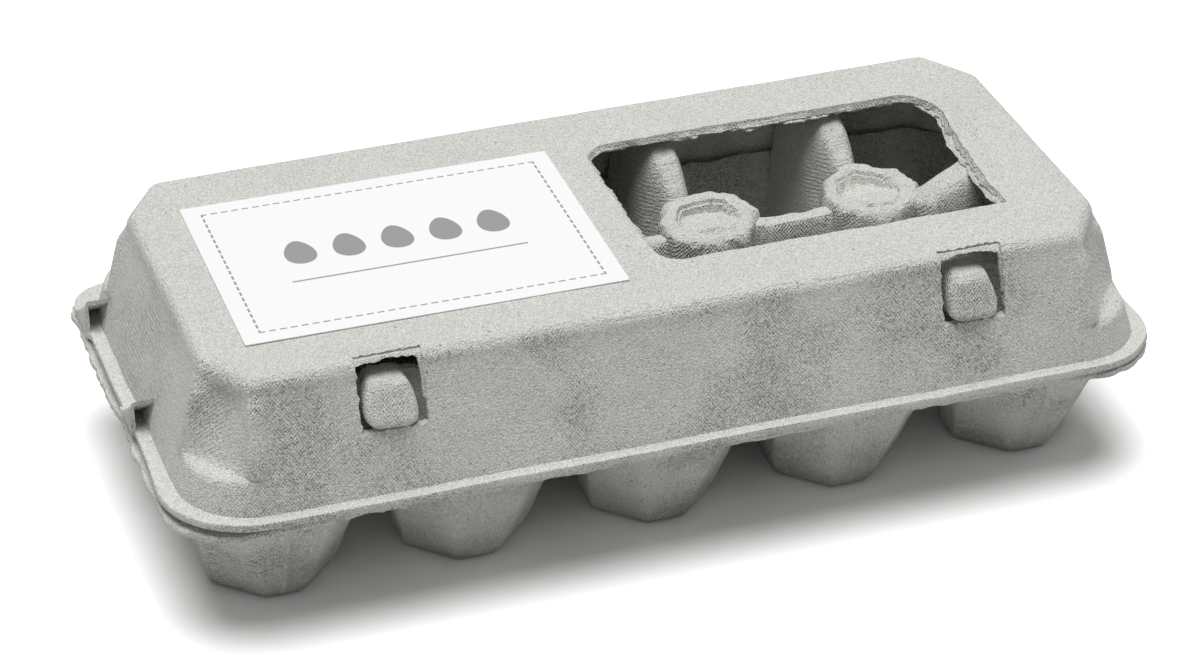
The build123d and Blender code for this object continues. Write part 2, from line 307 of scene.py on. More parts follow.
def lid_rings(sizes):
    """Outer and inner rings of the lid, row by row from the window's edge to the lip, with matching rows."""
    which, share = stations()
    wall = sizes.pulp_wall / MM
    torn = sizes.torn_edge / MM

    def level(z, hx, front, back, cx, cy, bend, soft=3, rear=1.0, rib=0.0):
        x, y = outline(which, share, hx, front, back, cx, cy, bend, rear, rib)
        return np.stack([soften(x, soft), soften(y, soft), np.full(len(x), z)], -1)

    def wall_at(z, inward=0):
        return WALL_X - LEAN_X * (z - WALL_Z) - inward, WALL_Y - LEAN_Y * (z - WALL_Z) - inward

    def lip(z, wall_x, wall_y, wide, front, back, r, far, rear):
        r += 3 * far
        return level(z, wall_x + (wide - wall_x) * far, wall_y + (front - wall_y) * far,
                     wall_y + (back - wall_y) * far, r, r, 1, rear=rear)

    outer, inner = [], []
    # rounded top edge: a quarter ellipse from the top outline to the shoulder
    for turn in np.radians(np.linspace(0, 84, 9)):
        s, c = np.sin(turn), np.cos(turn)
        z, hx, hy = 63 + 4 * c, 109.5 + 3 * s, 47 + 3.3 * s
        thin = wall * (0.5 + 0.5 * s)
        outer.append(level(z, hx, hy, hy, 9 + 0.5 * s, 13.5 + s, 0))
        inner.append(level(z - wall * c - 0.3 * s, hx - thin, hy - thin, hy - thin, 8.5 + 0.5 * s, 13 + s, 0))
    # leaning wall with cut corners, down to the corner ledge; its tenth row lies on the latch sill
    sill = len(outer) + 9
    thick = wall * 1.03
    for z in np.concatenate([np.linspace(62.2, 49.9, 10), np.linspace(49, 46.2, 3)]):
        s = (63 - z) / 19.4
        deep = ease((63.5 - z) / 5)
        hx, hy = wall_at(z)
        cut = (9.5 - 1.5 * deep + 4.3 * s, 14 - 2.5 * deep + 6 * s, (-1.3 + 1.2 * s) * deep)
        outer.append(level(z, hx, hy, hy, *cut, soft=1, rib=1.0 * deep))
        inner.append(level(z, hx - thick, hy - thick, hy - thick, cut[0] - 0.5, cut[1] - 0.5, cut[2]))
    # foot of each corner recess, which curves out over a rounded lip to the band below
    foot = ((45.0, -0.1, 0.8), (44.5, -0.05, 0.6), (44.15, 0.2, 0.4), (43.85, 0.55, 0.2), (43.5, 0.85, 0.1),
            (42.9, 0.98, 0), (42.1, 1.0, 0), (40.5, 1.0, 0), (38.5, 1.0, 0), (36.6, 1.0, 0), (35.3, 1.0, 0))
    for z, bend, rib in foot:
        hx, hy = wall_at(z)
        r = 15.5 + (43 - z) * 0.2
        share_round = np.clip(bend, 0, 1)
        cut = (12.2 + (r - 12.2) * share_round, 17.0 + (r - 17.0) * share_round)
        outer.append(level(z, hx, hy, hy, *cut, bend, rib=rib, soft=1 if z > 42.5 else 3))
        low = z - 1.4 * (z > 41)
        inner.append(level(low, hx - thick, hy - thick, hy - thick, cut[0] - 1, cut[1] - 1, bend))
    # ledge, lip and underside: height, and how far the outside and the inside have grown out to the lip
    for z, grow, under in ((34.95, 0.35, 0.3), (34.95, 0.7, 0.5), (34.9, 0.95, 0.7), (34.6, 1.0, 0.85),
                           (33.8, 1.0, 0.92), (33.15, 0.99, 0.96)):
        rear = 1 - 0.5 * grow
        outer.append(lip(z, *wall_at(35.2), 124.5, 60.75, 58.5, 17, grow, rear))
        inner.append(lip(33.05, *wall_at(33.5, wall), 124.2, 60.5, 58.3, 16, under, rear))
    outer, inner = np.array(outer), np.array(inner)

    # top panel: straight lines from the window's edge to the top outline
    edge = outer[0, :, :2]
    angle = np.arctan2(edge[:, 1] - WINDOW_MIDDLE[1], edge[:, 0] - WINDOW_MIDDLE[0])
    ray = np.stack([np.cos(angle), np.sin(angle)], -1)
    reach = window_reach(angle)
    rim3 = np.column_stack([ray * reach[:, None], 0 * angle])
    jag = 0.35 * wander(rim3, 1.3, 3) + 0.5 * wander(rim3, 4.0, 4) + 0.9 * wander(rim3, 14.0, 7)
    jag_low = jag + 0.6 * wander(rim3, 1.1, 5) + 1.0 * wander(rim3, 3.5, 6) + 1.1 * wander(rim3, 9.0, 8)
    panel_out, panel_in = [], []
    right = np.clip((np.cos(angle) - 0.80) / 0.15, 0, 1)
    share_out = np.concatenate([[0, 0.006, 0.015, 0.035, 0.07], np.linspace(0.12, 0.93, 9)])
    for s in share_out:
        base = WINDOW_MIDDLE + ray * (reach + torn * jag * (s < 0.03))[:, None]
        low = WINDOW_MIDDLE + ray * (reach + torn * (jag_low - 1.9) * (s < 0.03))[:, None]
        flat = base + (edge - base) * s
        flat_low = low + (inner[0, :, :2] - low) * s
        away = np.linalg.norm(flat - (WINDOW_MIDDLE + ray * reach[:, None]), axis=1)
        sag = 2.0 * right * np.exp(-(away / 4.0) ** 2)
        round_off = 0.45 * (s == 0)
        panel_out.append(np.column_stack([flat, TOP - round_off - sag]))
        panel_in.append(np.column_stack([flat_low, TOP - wall + 0.2 * (s == 0) - sag]))
    outer = np.concatenate([np.array(panel_out), outer])
    inner = np.concatenate([np.array(panel_in), inner])
    return which, share, outer, inner, len(share_out), len(share_out) + sill


def uneven(p, sizes):
    """Handmade unevenness: broad waves square to the top and the walls, a lifted corner, and a wavy lip."""
    x, y, z = p[..., 0], p[..., 1], p[..., 2]
    flat = np.stack([x / 125.0, y / 60.0], -1)
    wall_part = np.clip((TOP - z) / 6, 0, 1)
    side = np.where(np.abs(flat[..., 0]) > np.abs(flat[..., 1]), 0, 1)
    push = wall_part * (0.28 * wander(p, 38, 11) + 0.12 * wander(p, 12, 12) - 0.25)
    x = x + np.where(side == 0, np.sign(x) * push, 0)
    y = y + np.where(side == 1, np.sign(y) * push, 0)
    z = z - (1 - wall_part) * (0.16 + 0.14 * wander(p, 30, 13))
    low = np.clip((46 - z) / 10, 0, 1)
    corner = np.exp(-((p[..., 0] + 124) ** 2 + (p[..., 1] + 58) ** 2) / (2 * 15.0 ** 2))
    z = z + low * (sizes.lifted_corner / MM * corner + 0.18 * wander(p, 45, 14))
    # between the two lugs of an end the lip is drawn in and raised a little
    between = ease((y + 44) / 25) * ease((37 - y) / 3)
    lip = np.clip((np.abs(x) - 120.6) / 3.9, 0, 1) * (p[..., 2] < 36)
    x = x - np.sign(x) * 0.9 * between * lip
    z = z + 0.5 * between * lip
    return np.stack([np.clip(x, -124.9, 124.9), np.clip(y, -60.8, 60.8), z], -1)


def lid_shell(sizes):
    """The lid as one closed double wall: outer rings, inner rings, and two latch holes with joined borders."""
    def rough(p, length, seed):
        x, y, z = wander(p, length, seed), 0.3 * wander(p, 2, seed + 1), wander(p, length, seed + 2)
        return np.stack([x, y, z], -1)

    which, share, outer, inner, first, last = lid_rings(sizes)
    rows, cols, _ = outer.shape
    outer, inner = uneven(outer, sizes), uneven(inner, sizes)
    hole = np.zeros((rows, cols), bool)
    front_share = np.where(which == 0, share, 9)
    for latch in LATCHES:
        edges = ((latch + s * LATCH_HALF) / STRAIGHT * STRAIGHT_SHARE for s in (-1, 1))
        low, high = (np.argmin(np.abs(front_share - edge)) for edge in edges)
        hole[first:last, low:high] = True
    near = np.min([np.abs(outer[..., 0] - latch) - LATCH_HALF for latch in LATCHES], 0) < 0.9
    near[:first] = near[last + 1:] = False
    jitter = (near * (which == 0) * sizes.torn_edge / MM)[..., None]
    outer = outer + jitter * rough(outer, 2.2, 21)
    inner = inner + jitter * rough(inner, 1.8, 24)
    n = rows * cols
    index = np.arange(n).reshape(rows, cols)
    cell = ~hole[:-1]
    skin = grid_faces(rows, cols, close_cols=True)[cell.ravel()]
    faces = [skin, skin[:, ::-1] + n]
    for row, flip in ((0, False), (rows - 1, True)):
        a, b = index[row], np.roll(index[row], -1)
        band = np.stack([a, a + n, b + n, b], -1)
        faces.append(band[:, ::-1] if flip else band)
    # borders of the holes: an edge between a kept and an open cell joins the two walls
    beside, above, below = np.roll(cell, -1, 1), cell[:-1], cell[1:]
    for border, down, across, flip in ((cell & ~beside, 0, 1, True), (~cell & beside, 0, 1, False),
                                       (above & ~below, 1, 0, False), (~above & below, 1, 0, True)):
        r, c = np.nonzero(border)
        a, b = index[r + down, (c + across) % cols], index[r + 1, (c + 1) % cols]
        if flip:
            a, b = b, a
        faces.append(np.stack([a, b, b + n, a + n], -1))
    points = np.concatenate([outer.reshape(-1, 3), inner.reshape(-1, 3)])
    return points, outward(points, np.concatenate(faces))


def lug_hood(side, y):
    """End lug: a thin hood over the lip, open towards the front. Its roof runs level from the wall, turns down
    at the outer edge, and sinks into the lip behind by a power of the distance."""
    back = np.linspace(0, 1, 24)[:, None]
    over = np.linspace(0, 1, 18)[None, :]
    rise = 8.8 * (1 - back) ** 1.3
    level, turn = np.clip(over / 0.7, 0, 1), np.clip((over - 0.7) / 0.3, 0, 1) * np.pi / 2
    x = 116.6 + 6.6 * level + 0.9 * np.sin(turn) + 0 * back
    z = 34.8 + rise * np.cos(turn) ** 0.6
    roof = np.stack([side * x, y + 13.0 * back + 0 * over, z], -1)
    roof[..., 1] += 0.25 * wander(roof, 3.0, 17) * (back == 0)
    roof[..., 2] += 0.15 * wander(roof, 5.0, 18)
    inward = np.sin(turn) + 0 * back
    under = roof - 1.1 * np.stack([side * inward, 0 * inward, 1 - 0.8 * inward], -1)
    return slab(roof, under)


def torn_fringe():
    """Torn fibres under the window's edge: a thin strip around the opening, closed around its section, whose
    free edge wanders inward and hangs a little."""
    angle = np.linspace(0, 2 * np.pi, 1300, endpoint=False)
    ray = np.stack([np.cos(angle), np.sin(angle)], -1)
    reach = window_reach(angle)
    ring = np.column_stack([ray * reach[:, None], 0 * angle])
    free = 0.5 + 0.12 * wander(ring, 1.3, 81) + 0.35 * wander(ring, 3.6, 82) + 0.9 * wander(ring, 12.0, 83)
    free = np.maximum(free + 1.5 * np.clip((np.cos(angle) - 0.85) / 0.1, 0, 1), -0.4)
    sag = 2.0 * np.clip((np.cos(angle) - 0.80) / 0.15, 0, 1)
    rows = []
    for share, under in ((0, 0), (0.4, 0), (0.75, 0), (1, 0), (1, 1), (0.75, 1), (0.4, 1), (0, 1)):
        out = reach + 1.2 - (1.2 + free) * share
        hang = (0.5 + 0.5 * np.clip(free, 0, 2)) * share ** 2
        z = TOP - 1.35 - sag - hang - under * (0.75 - 0.5 * share)
        rows.append(np.column_stack([WINDOW_MIDDLE + ray * out[:, None], z]))
    p = np.array(rows)
    points = p.reshape(-1, 3)
    return points, outward(points, grid_faces(len(p), len(angle), close_rows=True, close_cols=True))


def torn_arch(x, seed):
    """Torn frame inside a latch opening: a strip that goes up one side, across the top and down the other, set
    back from the wall. Its width grows from the sides to the top, and its inner edge wanders."""
    u = np.linspace(0, 1, 150)[:, None]
    v = np.linspace(0, 1, 8)[None, :]
    half, drop = LATCH_HALF + 0.6, 13.0
    run = u * (2 * drop + 2 * half)
    left, right = np.clip(run, 0, drop), np.clip(run - drop - 2 * half, 0, drop)
    across = np.clip(run - drop, 0, 2 * half) - half
    down = drop - left + right
    path = np.concatenate([across, down, 0 * down], -1)
    edge = (0.45 * wander(path, 2.0, seed) + 0.7 * wander(path, 6.0, seed + 1))[:, None]
    on_side = np.clip(down / 0.02, 0, 1)
    side_width = np.where(across > 0, 1.1, 0.6) + 1.4 * np.exp(-down / 2.0) + 0.35 * edge
    top_width = 2.3 + 1.1 * (across / half) ** 2 + 0.6 * edge
    across_at = across - np.sign(across) * on_side * side_width * v
    down_at = down + (1 - on_side) * top_width * v
    turn = np.clip(down_at / 5.4, 0, 1) * np.radians(84)
    below = np.maximum(down_at - 5.4, 0) * 0.96
    y = -(46.9 + 3.3 * np.sin(turn) + LEAN_Y * below) + 0.35 + 0.5 * v
    z = 63 + 4 * np.cos(turn) - below - 0.7
    top = np.stack([x + across_at, y, z], -1)
    return slab(top, top + np.array([0, 0.9, -0.35]))


# The tray


def smooth_max(a, b, soft):
    """Larger of two heights, rounded where they meet over about the given distance."""
    h = np.clip(0.5 + 0.5 * (a - b) / soft, 0, 1)
    return b + (a - b) * h + soft * h * (1 - h)


def cell_floor(x, y):
    """Height of a cell's inside: the highest of nine planes, which are its floor and eight leaning faces. Each
    face rises by the cell's depth over its own run."""
    depth, middle, cut = 30.8, 25.5, 15.95
    cell = np.clip(np.round(x / PITCH), -2, 2) * PITCH
    dx, dy = np.abs(x - cell), np.abs(y)
    z = np.full(np.broadcast(x, y).shape, 1.8)
    for away, run in ((dx - 13.2, 6.6), (dy - 38.7, 12.5), (12.3 - dy, 8.5), (dx + dy - middle - cut, 20.65),
                      (dx + middle - dy - cut, 11.6)):
        z = smooth_max(z, away / run * depth, 6.0)
    return z


def post_height(x, y):
    """Height that the liner takes up around a post: a steep eight-sided cone, cut off below the post's top."""
    centre = POSTS[np.argmin(np.abs(x[..., None] - POSTS), -1)]
    dx, dy = np.abs(x - centre), np.abs(y - POST_Y)
    rho = np.maximum(np.maximum(dx, dy), (dx + dy) * 0.7071)
    return np.minimum(RIM + (13.2 - rho) / 2.8 * 22.9, 53.5)


def across_ridge(top, away, half, drop, power):
    """Height across a rounded ridge: level on its line, half the drop at its half width, then falling steeply
    away, six per mm, so that the cells beside it keep their depth."""
    steep = 6.0 * np.maximum(np.abs(away) - np.minimum(1.3 * half, 7.0), 0)
    return top - drop * (1 - 1 / (1 + (np.abs(away) / half) ** power)) - steep


def ridges(x, y):
    """Height of the ridges, which are side profiles with rounded flanks, and of the rear and end walls."""
    ax, ay = np.abs(x), np.abs(y)
    # along the tray from post to post, and on as a strap to each end
    far = ease((ax - 74) / 8)
    along = 55.2 + 0.9 * np.cos((ax - 27) / 42 * 2 * np.pi)
    strap = np.interp(ax, [70, 79, 97, 104, 112], [54.5, 57.0, 64.0, 64.2, 40])
    along = along * (1 - far) + strap * far
    middle = 0.6 * (1 - far) + far * np.interp(ax, [79, 97], [-5.0, -1.8])
    along = across_ridge(along, y - middle, 4.5 + 3.3 * far, 24, 5.5)
    # across the tray, rising to a column at the back
    column = COLUMNS[np.argmin(np.abs(x[..., None] - COLUMNS), -1)]
    rise = ease((y - 8) / 26)
    low = np.interp(y, [-47, -46, -11, 1], [30, 35, 45, 50])
    across = low * (1 - rise) + 63.0 * rise - 28 * ease((y - 49) / 4)
    across = across + 0.8 * wander(np.stack([x, y, 0 * x], -1), 11, 43)
    half = np.interp(y, [-46, 8, 20, 30, 50], [2.8, 4.2, 5.4, 6.6, 9.0])
    across = across_ridge(across, x - column, half, 25, 4.6)
    rear_top = 44.3 - 3.5 * ease((ax - 98) / 12)
    rear = rear_top - 4 * np.maximum(51.4 - y, 0) - 9 * np.maximum(y - 52.6, 0)
    end = 40.8 - 4 * np.maximum(112.7 - ax, 0) - 9 * np.maximum(ax - 113.9, 0) - 3 * np.maximum(ay - 50, 0)
    walls = np.where(ax < 113.9, rear, 20)
    return smooth_max(smooth_max(along, across, 4.0), np.maximum(walls, end), 2.5)


def liner(sizes):
    """Inside of the tray: a height for each point of a grid that is finer below the window, over an equal
    underside."""
    end, front, rear = 116.2, -52.6, 54.3
    x = np.concatenate([np.linspace(-end, 0, 78, endpoint=False), np.linspace(0, 100, 165, endpoint=False),
                        np.linspace(100, end, 12)])
    y = np.concatenate([np.linspace(front, -10, 34, endpoint=False), np.linspace(-10, rear, 98)])
    x, y = np.meshgrid(x, y, indexing="ij")
    base = -smooth_max(-cell_floor(x, y), np.full(x.shape, -RIM), 2.5)
    z = smooth_max(base, ridges(x, y), 6.0)
    z = smooth_max(z, post_height(x, y), 4.0)
    p = np.stack([x, y, z], -1)
    p[..., 2] = np.maximum(z + 0.5 * wander(p, 14, 41) + 0.3 * wander(p, 5, 42), FOOT + 1.4)
    # along its border the liner lies within the thickness of the rim, and leaves it at nine per mm further in
    inside = np.minimum(end - np.abs(x), np.minimum(y - front, rear - y))
    leave = 9 * np.maximum(inside - 1.0, 0)
    p[..., 2] = np.clip(p[..., 2], 31.7 - leave, 32.3 + leave)
    under = p.copy()
    under[..., 2] = np.maximum(p[..., 2] - sizes.pulp_wall / MM, FOOT + 0.3)
    return slab(p, under)


def post_shell(x, seed):
    """A post: an uneven eight-sided column, each side at its own distance and angle, drawn in towards the top,
    with a crisp rim around a shallow dish."""
    rng = np.random.default_rng(seed)
    u = np.linspace(0, 2 * np.pi, 160, endpoint=False)
    facing = (np.arange(8) + 0.35) * np.pi / 4 + rng.uniform(-0.14, 0.14, 8)
    away = (u[:, None] - facing + np.pi) % (2 * np.pi) - np.pi
    distance = rng.uniform(0.90, 1.06, 8) / np.cos(np.clip(away, -1.2, 1.2))
    sides = np.where(np.abs(away) < 1.2, distance, 9.0)
    outline_share = soften(sides.min(1), 1)
    # heights and radii up the sides, then over the rim and down into the dish
    low = np.linspace(31.5, 55.6, 12)
    z = np.concatenate([low, [56.5, 57.2, 57.6, 57.6, 57.35, 56.7, 55.9, 55.5, 55.35, 55.3, 55.3]])
    top_r = [11.9, 11.3, 10.4, 9.2, 8.2, 7.4, 6.9, 6.2, 4.6, 2.2, 0.01]
    r = np.concatenate([14.3 - (low - RIM) / 23.0 * 2.1, top_r])
    facets = np.concatenate([np.ones(16), np.linspace(0.6, 0, 7)])[:, None]
    reach = r[:, None] * (1 + (outline_share[None] - 1) * facets)
    p = np.stack([x + reach * np.cos(u), POST_Y + reach * np.sin(u), z[:, None] + 0 * u], -1)
    sway = np.stack([wander(p, 9, seed), wander(p, 9, seed + 1)], -1) * 0.75
    sway += np.stack([wander(p, 2.8, seed + 2), wander(p, 2.8, seed + 3)], -1) * 0.3
    whole = (r > 0.5)[:, None]
    p[..., :2] += sway * whole[..., None]
    waves = 0.6 * wander(p, 9, seed + 4) + 0.16 * wander(p, 3.0, seed + 5)
    p[..., 2] += waves * whole + 0.06 * (p[..., 1] - POST_Y)
    # the dish is deep at its back and runs out towards the front
    p[..., 2] -= 0.19 * (p[..., 1] - POST_Y) * (r <= 7.4)[:, None]
    inside = p.copy()
    middle = np.array([x, POST_Y])
    inside[..., :2] = middle + (inside[..., :2] - middle) * 0.9
    inside[..., 2] -= 1.1
    return closed_rows(np.concatenate([p[::-1], inside]))


def cup_shell(x, row, seed):
    """One cup: octagons that widen from foot to mouth, an inner skin, and a faint mould line down the front."""
    mouth_z, side = 31.2, 20

    def ring(share, shrink):
        foot = (-40.5, -10.5, 15.4, 10.6, 11.5)
        mouth = (-53.0, -2.0, 21.8, 10.0, 15.0)
        f, b, hx, cf, cb = (a + (c - a) * share for a, c in zip(foot, mouth))
        f, b, hx = f + shrink, b - shrink, hx - shrink
        corners = np.array([(-hx + cf, f), (hx - cf, f), (hx, f + cf), (hx, b - cb),
                            (hx - cb, b), (-hx + cb, b), (-hx, b - cb), (-hx, f + cf)])
        s = np.linspace(0, 1, side, endpoint=False)[None, :, None]
        line = (corners[:, None] * (1 - s) + np.roll(corners, -1, 0)[:, None] * s).reshape(-1, 2)
        return np.stack([soften(line[:, 0], 2), soften(line[:, 1], 2)], -1)

    def at(flat, z):
        return np.column_stack([flat, np.full(8 * side, z)])

    levels = np.array([0.35, 0.9, 1.8, 3.5, 6, 9, 12, 15, 18, 21, 24, 27, 29.5, mouth_z])
    outer = [at(ring(z / mouth_z, 0.9 * np.exp(-z / 1.1)), z) for z in levels]
    inner = [at(ring(z / mouth_z, 1.0), max(z, 1.2)) for z in levels[::-1][:-1]]
    middle = np.array([0, -25.5])
    sole = [at(middle + (ring(0, 1.2) - middle) * s, 0.02) for s in (0, 0.35, 0.7, 1.0)]
    floor = [at(middle + (ring(0, 2.0) - middle) * s, 1.2) for s in (1, 0.5, 0)]
    p = np.array(sole + outer + inner + floor)
    out = p[..., :2] - middle
    push = (0.30 * wander(p, 14, seed) + 0.14 * wander(p, 5, seed + 1)) * np.clip(p[..., 2] / 4, 0, 1)
    p[..., :2] += out / (np.linalg.norm(out, axis=-1, keepdims=True) + 1e-6) * push[..., None]
    line = np.exp(-((p[..., 0] + 0.3) / 0.9) ** 2)
    p[..., 1] -= 0.9 * line * (p[..., 1] < -34) * (p[..., 2] > 1) * (p[..., 2] < 30)
    p[..., 0] += x
    if row > 0:
        p[..., 1] *= -1
    return closed_rows(p)


def flange_ring(sizes):
    """Rim of the tray outside the cells: a flat ring with a torn outer edge, closed around its section."""
    which, share = stations(240, 200, 90, 30)
    inner = np.stack(outline(which, share, 115.5, 52.0, 52.0, 6, 6, 1), -1)
    x, y = outline(which, share, 125.0, 60.2, 59.2, 18, 18, 1, rear=0.5)
    y = np.maximum(y, -60.2 + 1.5 * ease((106 - np.abs(x)) / 14))
    x, y = soften(x, 4), soften(y, 4)
    edge3 = np.stack([x, y, 0 * x], -1)
    rough = 0.45 * wander(edge3, 2.4, 51) + 1.3 * wander(edge3, 6.0, 52) + 1.3 * wander(edge3, 19.0, 54) - 1.0
    away = np.stack([x, y], -1) - inner
    away /= np.linalg.norm(away, axis=1, keepdims=True)
    edge = np.stack([x, y], -1) + away * (rough * sizes.torn_edge / MM)[:, None]
    edge = np.clip(edge, (-125.1, -60.6), (125.1, 60.0))
    corner = np.exp(-((x + 124) ** 2 + (y + 58) ** 2) / (2 * 18.0 ** 2))
    droop = 0.1 * corner + 0.4 * ease((-x - 105) / 15) * ease((40 - y) / 8)
    section = ((0, 32.3), (0.4, 32.35), (0.8, 32.35), (0.97, 32.3), (1.0, 31.9),
               (1.0, 31.2), (0.97, 30.75), (0.8, 30.7), (0.4, 30.8), (0, 30.9))
    rows = []
    for s, z in section:
        flat = inner + (edge - inner) * s
        bumpy = 0.2 * wander(np.column_stack([flat, 0 * x]), 25, 53) + 0.25 * s * wander(edge3, 5, 55)
        rows.append(np.column_stack([flat, z - droop * s + bumpy]))
    p = np.array(rows)
    points = p.reshape(-1, 3)
    return points, outward(points, grid_faces(len(p), len(x), close_rows=True, close_cols=True))


def front_flap():
    """Inner flap behind the lid's front wall: a leaning plate, a little wavy, set back around each knob."""
    u = np.linspace(-97, 97, 200)[:, None]
    v = np.linspace(0, 1, 14)[None, :]
    z = 32.0 + 27.6 * v + 0 * u
    y = -(WALL_Y - LEAN_Y * (z - WALL_Z)) + 2.9 + 0 * u
    face = np.stack([u + 0 * v, y, z], -1)
    face[..., 1] += 0.15 * wander(face, 20, 61)
    for latch in LATCHES:
        face[..., 1] += 4.0 * np.exp(-((u - latch) / 9.5) ** 6) * ease((z - 45) / 5)
    return slab(face, face + np.array([0, 1.6, 0.3]))


def knob(x, seed):
    """Catching knob: a pillow that leans with the wall, narrows upward and sinks under the lid at its top."""
    middle = np.array([x - 0.5, -48.5, 55.9])
    p = rounded_block(middle, (6.4, 4.8, 5.4), 0.4, 44, 72)
    p[..., 0] = middle[0] + (p[..., 0] - middle[0]) * (1 - 0.2 * ease((p[..., 2] - 55) / 6))
    p[..., 1] += 0.45 * (p[..., 2] - middle[2])
    p[..., 2] -= 0.06 * (p[..., 0] - x)
    p += 0.2 * np.stack([wander(p, 5, seed), wander(p, 5, seed + 1), wander(p, 5, seed + 2)], -1)
    return closed_rows(p)


def hinge_strip():
    """The pulp that bends at the back: a round strip about the hinge line, from the tray's rim to the lid's."""
    u = np.linspace(-99, 99, 160)[:, None]
    turn = np.radians(np.linspace(-125, 125, 18))[None, :]
    radius = 0.72 + 0.03 * np.sin(u / 7)

    def face(wide, high):
        y = HINGE[1] - 0.1 + wide * np.cos(turn)
        return np.stack([u + 0 * turn, y, HINGE[2] + high * np.sin(turn) + 0 * u], -1)

    return slab(face(radius, 1.0), face(radius - 0.45, 0.6))


def label_sheet():
    """The label: a thin sheet, turned a little, that follows the top's slight waves."""
    u, v = np.meshgrid(np.linspace(-46.5, 46.5, 120), np.linspace(-33.25, 33.25, 90), indexing="ij")
    c, s = np.cos(LABEL_TURN), np.sin(LABEL_TURN)
    x, y = LABEL_X + u * c - v * s, LABEL_Y + u * s + v * c
    top = np.stack([x, y, 67.2 + 0.06 * wander(np.stack([x, y, 0 * x], -1), 40, 71)], -1)
    return slab(top, np.stack([x, y, np.full(x.shape, 66.95)], -1))


# Materials


def shader(name):
    """A new material's node tree, its principled shader and a way to add and link nodes."""
    material = bpy.data.materials.new(name)
    material.use_nodes = True
    tree = material.node_tree
    return material, tree, tree.nodes["Principled BSDF"], node_maker(tree)


def node_maker(tree):
    """A function that adds a node to the tree and sets its properties or inputs by name."""
    def node(kind, **values):
        made = tree.nodes.new(kind)
        for key, value in values.items():
            if hasattr(made, key):
                setattr(made, key, value)
            else:
                made.inputs[key.replace("_", " ")].default_value = value
        return made

    return node


def seen_ray(node, tree):
    """1 for rays from the camera, a mirror or glass, and 0 for rays that carry light."""
    path = node("ShaderNodeLightPath")
    seen = path.outputs["Is Camera Ray"]
    for kind in ("Is Glossy Ray", "Is Transmission Ray"):
        either = node("ShaderNodeMath", operation="MAXIMUM")
        tree.links.new(seen, either.inputs[0])
        tree.links.new(path.outputs[kind], either.inputs[1])
        seen = either.outputs[0]
    return seen


def ramp(node, tree, source, stops):
    """A colour ramp with the given (place, grey) stops, fed from a socket."""
    made = node("ShaderNodeValToRGB")
    made.color_ramp.elements[0].position, made.color_ramp.elements[1].position = stops[0][0], stops[-1][0]
    for element, (_, grey) in zip(made.color_ramp.elements, (stops[0], stops[-1])):
        element.color = (grey, grey, grey, 1)
    for place, grey in stops[1:-1]:
        made.color_ramp.elements.new(place).color = (grey, grey, grey, 1)
    tree.links.new(source, made.inputs[0])
    return made.outputs[0]


def mixed(node, tree, kind, share, a, b):
    """Mixes two colours; each input is a socket or a plain value."""
    made = node("ShaderNodeMix", data_type="RGBA", blend_type=kind)
    for socket, value in ((made.inputs[0], share), (made.inputs[6], a), (made.inputs[7], b)):
        if isinstance(value, bpy.types.NodeSocket):
            tree.links.new(value, socket)
        else:
            socket.default_value = value
    return made.outputs[2]


